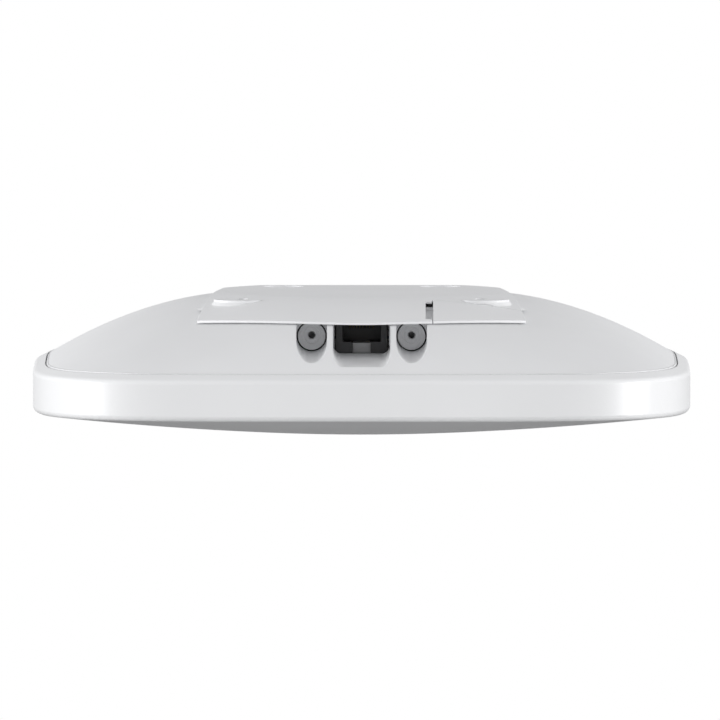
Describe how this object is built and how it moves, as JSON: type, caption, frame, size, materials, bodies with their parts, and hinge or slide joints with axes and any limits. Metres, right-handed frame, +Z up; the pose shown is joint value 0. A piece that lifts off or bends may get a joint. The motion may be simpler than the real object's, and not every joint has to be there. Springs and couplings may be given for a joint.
{
  "type": "ceiling access point",
  "caption": "Rounded-square ceiling access point: domed back, tongue-shaped ceiling plate it slides off, cable bay and screw lugs on one side.",
  "frame": {"origin": "centre of the plate face that touches the ceiling", "axes": "+Z up to the ceiling, -Y the cable bay side, +X to the right of it"},
  "size_m": [0.205, 0.205, 0.0445],
  "materials": {
    "white_plastic": "satin moulded polycarbonate",
    "cover_plastic": "fine satin gloss polycarbonate",
    "chassis_metal": "die cast, matt grey",
    "board_green": "solder mask",
    "black_plastic": "moulded",
    "grey_plastic": "moulded",
    "tin_plate": "tinned sheet",
    "contact_gold": "plated",
    "pad_rubber": "soft silicone",
    "clear_plastic": "clear moulded rod",
    "screw_steel": "zinc plated"
  },
  "bodies": {
    "bracket": {"mount_plate": "white_plastic"},
    "latch": {"release_latch": "white_plastic"},
    "unit": {"rear_housing": "white_plastic", "front_cover": "cover_plastic", "light_pipe": "clear_plastic", "metal_chassis": "chassis_metal", "main_board": "board_green", "jack_housing": "black_plastic", "jack_insert": "grey_plastic", "jack_contacts": "contact_gold", "isolation_transformer": "black_plastic", "processor_shield": "tin_plate", "radio_shield_left": "tin_plate", "radio_shield_right": "tin_plate", "processor_chip": "black_plastic", "radio_chips": "black_plastic", "memory_chip": "black_plastic", "thermal_pads": "pad_rubber", "capacitors": "tin_plate", "power_inductors": "black_plastic", "status_light": "clear_plastic", "reset_switch": "black_plastic", "antenna_front_left": "tin_plate", "antenna_front_right": "tin_plate", "antenna_rear_left": "tin_plate", "antenna_rear_right": "tin_plate", "housing_screws": "screw_steel", "board_screws": "screw_steel"},
    "reset": {"reset_button": "grey_plastic"}
  },
  "joints": [
    {"name": "unit_slide", "type": "slide", "parent": "bracket", "child": "unit", "axis": [0, 1, 0], "range_m": [0, 0.012]},
    {"name": "latch_flex", "type": "hinge", "parent": "bracket", "child": "latch", "pos_m": [0.036, -0.0474, -0.0025], "axis": [-1, 0, 0], "range_deg": [0, 5], "stiffness_Nm_per_rad": 0.3},
    {"name": "reset_press", "type": "slide", "parent": "unit", "child": "reset", "axis": [0, 0, -1], "range_m": [0, 0.0006], "stiffness_N_per_m": 1500}
  ]
}
